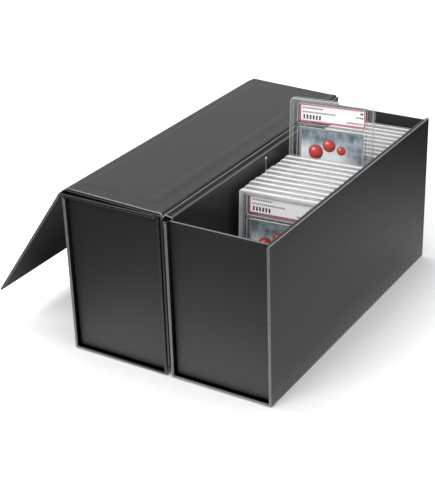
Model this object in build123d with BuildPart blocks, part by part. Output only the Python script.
from build123d import *
import os
from math import cos, radians, sin

# Two storage boxes for upright graded card cases stand side by side.
# The open box has its origin under the middle of its base, +Z up, and its near end faces -Y.
# The shut box stands on its -X side and carries the open box's folded lid.

# Driving dimensions in millimetres

# One box: its length over all, its boards, and the room that it leaves around the cases
box_length = 322.0
cover_board = 3.0
lid_board = 3.2
flap_board = 2.0
lid_lining = 0.9
flap_lining = 0.6
case_side_clearance = 4.95
case_head_clearance = 10.7
box_gap = 4.5

# The tray that is glued inside the cover
tray_board = 1.8
end_recess_depth = 5.0
tray_top_offset = 0.5

# Clearances and folds of the lid and the flap
lid_clearance = 0.3
stack_clearance = 0.3
flap_clearance = 1.0
hinge_offset = 0.5
flap_groove_width = 2.0
flap_floor_gap = 11.0
lid_groove_width = 7.0
flap_axis_inset = 0.7
flap_axis_rise = 1.3

# How far the flap turns down to shut, how far the open box's lid is folded back,
# and how far its flap leans out, in degrees
flap_shutting = 90.0
lid_opening = 178.0
flap_lean = 35.3

# Lining panels stand back from the edges of their boards
lid_lining_end_margin = 12.0
lid_lining_hinge_margin = 12.0
lid_lining_far_margin = 6.0
flap_lining_margin = 4.0

# Hinge strips of wrapping paper and lining
strip_thickness = 0.3
strip_lap_width = 5.0
strip_top_gap = 1.0

# Magnets in the flap and the steel discs that they pull to
magnet_radius = 5.0
magnet_depth = 1.2
keeper_radius = 6.0
keeper_depth = 1.2
magnet_count = 3
magnet_spacing = 110.0
magnet_edge_distance = 14.0

# Card cases, each of two halves around a card and a label
case_width = 81.5
case_height = 136.5
case_depth = 7.4
case_corner = 3.0
case_rim = 3.5
case_recess = 0.6
card_width = 63.5
card_height = 88.9
card_thickness = 1.0
card_top_margin = 27.5
label_width = 64.0
label_height = 17.0
label_thickness = 0.6
label_top_margin = 5.0
pocket_clearance = 0.1

# Rows of cases in the open box, reckoned from the tray's far end, with the raised case between
rear_row_count = 9
front_row_count = 10
case_pitch = 9.6
rear_row_clearance = 0.6
raised_case_back_gap = 21.5
raised_case_front_gap = 10.0
raised_case_lift = 54.0

# The cases lean back, and each row stands a little askew, in degrees
case_lean = 4.5
front_row_turn = 4.0
raised_case_turn = 7.0
rear_row_turn = 3.0

# Pale strip with a round bead on the tray's spine side
marker_width = 1.2
marker_thickness = 0.6
marker_length = 30.0
marker_bead_radius = 1.1
marker_top_margin = 1.5
marker_distance = 165.0

os.makedirs("parts", exist_ok=True)

# Places that follow from the sizes above
tray_floor_top = cover_board + tray_board
box_width = case_width + 2 * (case_side_clearance + tray_board + cover_board)
wall_top = tray_floor_top + case_height + case_head_clearance
half_width = box_width / 2
half_length = box_length / 2
tray_half_length = half_length - end_recess_depth
tray_half_width = half_width - cover_board
tray_inside_length = tray_half_length - tray_board
tray_inside_width = tray_half_width - tray_board
tray_top = wall_top - tray_top_offset
shut_middle = -(box_width + box_gap)

# The lid turns about a line just outside the spine wall, midway between two stacked lids
hinge_x = -half_width - hinge_offset
hinge_z = wall_top + lid_clearance + lid_board + stack_clearance / 2
lid_outer = -stack_clearance / 2
lid_inner = lid_outer - lid_board

# When shut, the flap meets the lid's outer face at this distance from the lid's hinge,
# and it turns about a line a little inside and above that corner
flap_corner_along = half_width + flap_clearance + flap_lining + flap_board - hinge_x
lid_far_edge = flap_corner_along - lid_groove_width
flap_reach = hinge_z + lid_outer - flap_floor_gap


def finish(piece, name):
    """Label a finished piece and write its file."""
    piece.part.label = name
    export_step(piece.part, f"parts/{name}.step")


def turned(x, z, fold, along, up):
    """World X and Z of a point given along and above a board folded down by an angle."""
    turn = radians(fold)
    return x + along * cos(turn) + up * sin(turn), z - along * sin(turn) + up * cos(turn)


def fold_plane(x, z, fold):
    """Plane at a hinge line: local X runs along the folded board, local Z out of its outer side."""
    along = turned(0, 0, fold, 1, 0)
    outward = turned(0, 0, fold, 0, 1)
    return Plane(origin=(x, 0, z), x_dir=(along[0], 0, along[1]), z_dir=(outward[0], 0, outward[1]))


def straight_board(name, x_span, y_span, z_span):
    """A plain board between two corners."""
    with BuildPart() as board:
        with BuildSketch(Plane.XY.offset(z_span[0])):
            with Locations(((x_span[0] + x_span[1]) / 2, (y_span[0] + y_span[1]) / 2)):
                Rectangle(x_span[1] - x_span[0], y_span[1] - y_span[0])
        extrude(amount=z_span[1] - z_span[0])
    finish(board, name)


def folded_board(name, plane, span, length, inner_face, thickness):
    """A plain board on a fold plane, from its inner face outwards."""
    with BuildPart() as board:
        with BuildSketch(plane.offset(inner_face)):
            with Locations(((span[0] + span[1]) / 2, 0)):
                Rectangle(span[1] - span[0], length)
        extrude(amount=thickness)
    finish(board, name)


def bent_strip(name, outline):
    """A hinge strip as long as the box, from its outline in world X and Z."""
    with BuildPart() as strip:
        with BuildSketch(Plane.XZ):
            with BuildLine():
                Polyline(*outline, close=True)
            make_face()
        extrude(amount=half_length, both=True)
    finish(strip, name)


# The wrap-around cover: base, spine wall and front wall

def disc_spots(height):
    """Places of the magnets or keepers: along the box, at one height."""
    first = -(magnet_count - 1) / 2 * magnet_spacing
    return [(first + i * magnet_spacing, height) for i in range(magnet_count)]


def front_wall_and_keepers(prefix, middle):
    """Front wall with steel discs let into its inner face, level with the shut flap's magnets."""
    inner_face = middle + half_width - cover_board
    face_plane = Plane(origin=(inner_face, 0, 0), x_dir=(0, 1, 0), z_dir=(1, 0, 0))
    spots = disc_spots(flap_floor_gap + magnet_edge_distance)
    with BuildPart() as wall:
        with BuildSketch(Plane.XY.offset(cover_board)):
            with Locations((inner_face + cover_board / 2, 0)):
                Rectangle(cover_board, box_length)
        extrude(amount=wall_top - cover_board)
        with BuildSketch(face_plane):
            with Locations(*spots):
                Circle(keeper_radius)
        extrude(amount=keeper_depth, mode=Mode.SUBTRACT)
    finish(wall, f"{prefix}_cover_front")
    with BuildPart() as keepers:
        with BuildSketch(face_plane):
            with Locations(*spots):
                Circle(keeper_radius)
        extrude(amount=keeper_depth)
    finish(keepers, f"{prefix}_keeper_discs")


def cover(prefix, middle):
    """Base board, spine wall and front wall."""
    ends = (-half_length, half_length)
    left = middle - half_width
    straight_board(f"{prefix}_cover_base", (left, left + box_width), ends, (0, cover_board))
    straight_board(f"{prefix}_cover_spine", (left, left + cover_board), ends, (cover_board, wall_top))
    front_wall_and_keepers(prefix, middle)


# The tray glued inside the cover: floor, two sides and two ends

def tray(prefix, middle):
    """Five boards, with the ends across the whole width and the sides between them."""
    outer = (middle - tray_half_width, middle + tray_half_width)
    inner = (middle - tray_inside_width, middle + tray_inside_width)
    between = (-tray_inside_length, tray_inside_length)
    heights = (cover_board, tray_top)
    straight_board(f"{prefix}_tray_spine_side", (outer[0], inner[0]), between, heights)
    straight_board(f"{prefix}_tray_front_side", (inner[1], outer[1]), between, heights)
    straight_board(f"{prefix}_tray_near_end", outer, (-tray_half_length, -tray_inside_length), heights)
    straight_board(f"{prefix}_tray_far_end", outer, (tray_inside_length, tray_half_length), heights)
    straight_board(f"{prefix}_tray_floor", inner, between, (cover_board, tray_floor_top))


# The lid and the flap, made on the planes that they are folded to

def lid(prefix, plane):
    """Lid board and the lining panel on its inner face."""
    span = (hinge_offset, lid_far_edge)
    folded_board(f"{prefix}_lid_board", plane, span, box_length, lid_inner, lid_board)
    lining_span = (lid_lining_hinge_margin, lid_far_edge - lid_lining_far_margin)
    lining_length = box_length - 2 * lid_lining_end_margin
    lining_face = lid_inner - lid_lining
    folded_board(f"{prefix}_lid_lining", plane, lining_span, lining_length, lining_face, lid_lining)


def flap(prefix, plane):
    """Flap board, the magnets let into its inner face, and the lining panel over them."""
    inner_face = plane.offset(-flap_board)
    spots = [(flap_reach - magnet_edge_distance, along) for along, _ in disc_spots(0)]
    with BuildPart() as board:
        with BuildSketch(inner_face):
            with Locations(((flap_groove_width + flap_reach) / 2, 0)):
                Rectangle(flap_reach - flap_groove_width, box_length)
        extrude(amount=flap_board)
        with BuildSketch(inner_face):
            with Locations(*spots):
                Circle(magnet_radius)
        extrude(amount=magnet_depth, mode=Mode.SUBTRACT)
    finish(board, f"{prefix}_flap_board")
    with BuildPart() as magnets:
        with BuildSketch(inner_face):
            with Locations(*spots):
                Circle(magnet_radius)
        extrude(amount=magnet_depth)
    finish(magnets, f"{prefix}_flap_magnets")
    lining_span = (flap_groove_width + flap_lining_margin, flap_reach - flap_lining_margin)
    lining_length = box_length - 2 * flap_lining_margin
    lining_face = -flap_board - flap_lining
    folded_board(f"{prefix}_flap_lining", plane, lining_span, lining_length, lining_face, flap_lining)


def flap_corner(middle, lid_fold, flap_turn):
    """World X and Z of the flap's corner once lid and flap have turned."""
    across = flap_corner_along - flap_axis_inset
    axis = turned(middle + hinge_x, hinge_z, lid_fold, across, lid_outer + flap_axis_rise)
    return turned(*axis, lid_fold + flap_turn, flap_axis_rise, flap_axis_inset)


def lid_and_flap(prefix, middle, lid_fold, flap_turn):
    """Lid folded by one angle about the spine, and flap turned by another about the lid's edge."""
    lid(prefix, fold_plane(middle + hinge_x, hinge_z, lid_fold))
    flap(prefix, fold_plane(*flap_corner(middle, lid_fold, flap_turn), lid_fold + flap_turn))


def shut_flap_strip(prefix, middle):
    """Paper over the corner between the shut lid and its flap."""
    lid_end = middle + hinge_x + lid_far_edge
    corner, top = flap_corner(middle, 0, flap_shutting)
    inside = corner - strip_thickness
    low = top - flap_groove_width
    outline = [(lid_end, top), (corner, top), (corner, low), (inside, low)]
    bent_strip(
        f"{prefix}_flap_hinge_strip",
        outline + [(inside, top - strip_thickness), (lid_end, top - strip_thickness)],
    )


def open_flap_strip(prefix, middle, lid_fold, flap_turn):
    """Paper that bends back from the folded lid to the hanging flap in three short runs."""
    corner = flap_corner(middle, lid_fold, flap_turn)
    run = lid_groove_width / 2

    def on_lid(beyond_edge, up):
        across = lid_far_edge + beyond_edge
        return turned(middle + hinge_x, hinge_z, lid_fold, across, lid_outer + up)

    def on_flap(before_board, up):
        return turned(*corner, lid_fold + flap_turn, flap_groove_width - before_board, up)

    outside = [on_lid(0, 0), on_lid(run, 0), on_flap(run, 0), on_flap(0, 0)]
    deep = -strip_thickness
    inside = [on_flap(0, deep), on_flap(run, deep), on_lid(run, deep), on_lid(0, deep)]
    bent_strip(f"{prefix}_flap_hinge_strip", outside + inside)


def shut_lid_strip(prefix, middle):
    """Paper up the outside of the spine wall and over the shut lid's near edge."""
    wall = middle - half_width
    low = wall_top - strip_lap_width
    high = wall_top + lid_clearance + lid_board - strip_top_gap
    outside = wall - strip_thickness
    bent_strip(f"{prefix}_lid_hinge_strip", [(wall, low), (wall, high), (outside, high), (outside, low)])


def open_lid_strip(prefix, middle):
    """Paper up the spine wall to the folded lid, and lining sloping down to the tray's rim."""
    wall = middle - half_width
    lid_low = turned(middle + hinge_x, hinge_z, -lid_opening, hinge_offset, lid_outer)
    lid_high = turned(middle + hinge_x, hinge_z, -lid_opening, hinge_offset, lid_inner)
    rim = middle - tray_inside_width
    outline = [
        (wall, wall_top - strip_lap_width),
        (wall - strip_thickness, wall_top - strip_lap_width),
        (wall - strip_thickness, lid_low[1]),
        lid_low,
        lid_high,
        (rim, tray_top),
        (rim - strip_lap_width / 2, wall_top + strip_thickness),
        (wall, lid_high[1] - strip_lap_width / 2),
    ]
    bent_strip(f"{prefix}_lid_hinge_strip", outline)


def box(prefix, middle, lid_fold, flap_turn):
    """Cover, tray, lid and flap of one box."""
    cover(prefix, middle)
    tray(prefix, middle)
    lid_and_flap(prefix, middle, lid_fold, flap_turn)


box("shut", shut_middle, 0, flap_shutting)
shut_lid_strip("shut", shut_middle)
shut_flap_strip("shut", shut_middle)

open_flap_turn = flap_shutting + flap_lean + lid_opening
box("open", 0, -lid_opening, open_flap_turn)
open_lid_strip("open", 0)
open_flap_strip("open", 0, -lid_opening, open_flap_turn)


# Card cases: a back half with pockets for card and label, and a front half over them

card_size = (card_top_margin, card_width, card_height, card_thickness)
label_size = (label_top_margin, label_width, label_height, label_thickness)
inserts_in_case = (card_size, label_size)


def case_place(start, lift, turn):
    """Plane of a case's middle layer, facing the near end, with its origin at the case's foot."""
    lean = radians(case_lean)
    aside = radians(turn)
    up = (-sin(lean) * sin(aside), sin(lean) * cos(aside), cos(lean))
    facing = (cos(lean) * sin(aside), -cos(lean) * cos(aside), sin(lean))
    foot = (0, start - half_length, tray_floor_top + sin(lean) * case_depth / 2)
    return Plane(
        origin=[at + lift * rise for at, rise in zip(foot, up)],
        x_dir=(cos(aside), sin(aside), 0),
        z_dir=facing,
    )


def case_outline(inset=0):
    """Rounded outline of a case, drawn in from its edge, standing on the plane's origin."""
    with BuildSketch() as outline:
        with Locations((0, case_height / 2)):
            RectangleRounded(case_width - 2 * inset, case_height - 2 * inset, case_corner)
    return outline.sketch


def insert_place(below_top, height):
    """Middle of a card or label on the case's middle layer."""
    return Locations((0, case_height - below_top - height / 2))


def card_case(name, place):
    """Both halves of one case, each a plate with a shallow field inside its rim."""
    plane = case_place(*place)
    half_depth = case_depth / 2
    with BuildPart() as front:
        with BuildSketch(plane):
            add(case_outline())
        extrude(amount=half_depth)
        with BuildSketch(plane.offset(half_depth)):
            add(case_outline(case_rim))
        extrude(amount=-case_recess, mode=Mode.SUBTRACT)
    with BuildPart() as back:
        with BuildSketch(plane):
            add(case_outline())
        extrude(amount=-half_depth)
        with BuildSketch(plane.offset(-half_depth)):
            add(case_outline(case_rim))
        extrude(amount=case_recess, mode=Mode.SUBTRACT)
        for below_top, width, height, thickness in inserts_in_case:
            with BuildSketch(plane):
                with insert_place(below_top, height):
                    Rectangle(width + 2 * pocket_clearance, height + 2 * pocket_clearance)
            extrude(amount=-thickness - pocket_clearance, mode=Mode.SUBTRACT)
    halves = Compound(label=name, children=[back.part.solid(), front.part.solid()])
    export_step(halves, f"parts/{name}.step")


def inserts(name, places, size):
    """Cards or labels of several cases, each standing on the foot of its pocket."""
    below_top, width, height, thickness = size
    with BuildPart() as sheets:
        for place in places:
            with BuildSketch(case_place(*place)):
                with insert_place(below_top + pocket_clearance, height):
                    Rectangle(width, height)
            extrude(amount=-thickness)
    finish(sheets, name)


# The last case's head and its far corner stay clear of the tray's far end
rear_turn = radians(rear_row_turn)
head_back = case_height * sin(radians(case_lean)) * cos(rear_turn)
corner_back = case_width / 2 * sin(rear_turn) + case_depth / 2
last_case_start = half_length + tray_inside_length - head_back - corner_back - rear_row_clearance

# The raised case leans on the back of the front row
first_rear_start = last_case_start - (rear_row_count - 1) * case_pitch
raised_case_start = first_rear_start - raised_case_back_gap
front_row_start = raised_case_start - raised_case_front_gap - (front_row_count - 1) * case_pitch

front_row = [(front_row_start + i * case_pitch, 0, front_row_turn) for i in range(front_row_count)]
rear_row = [(first_rear_start + i * case_pitch, 0, rear_row_turn) for i in range(rear_row_count)]
standing_places = front_row + rear_row
raised_place = (raised_case_start, raised_case_lift, raised_case_turn)

for number, place in enumerate(standing_places, start=1):
    card_case(f"standing_case_{number:02d}", place)
card_case("raised_case", raised_place)
inserts("standing_cards", standing_places, card_size)
inserts("standing_labels", standing_places, label_size)
inserts("raised_card", [raised_place], card_size)
inserts("raised_label", [raised_place], label_size)


# Pale strip with a bead at its head, on the inner face of the tray's spine side
marker_top = tray_top - marker_top_margin
with BuildPart() as marker:
    with BuildSketch(Plane(origin=(-tray_inside_width, 0, 0), x_dir=(0, 1, 0), z_dir=(1, 0, 0))):
        with Locations((marker_distance - half_length, marker_top - marker_length / 2)):
            Rectangle(marker_width, marker_length)
        with Locations((marker_distance - half_length, marker_top - marker_bead_radius)):
            Circle(marker_bead_radius)
    extrude(amount=marker_thickness)
finish(marker, "wall_marker")
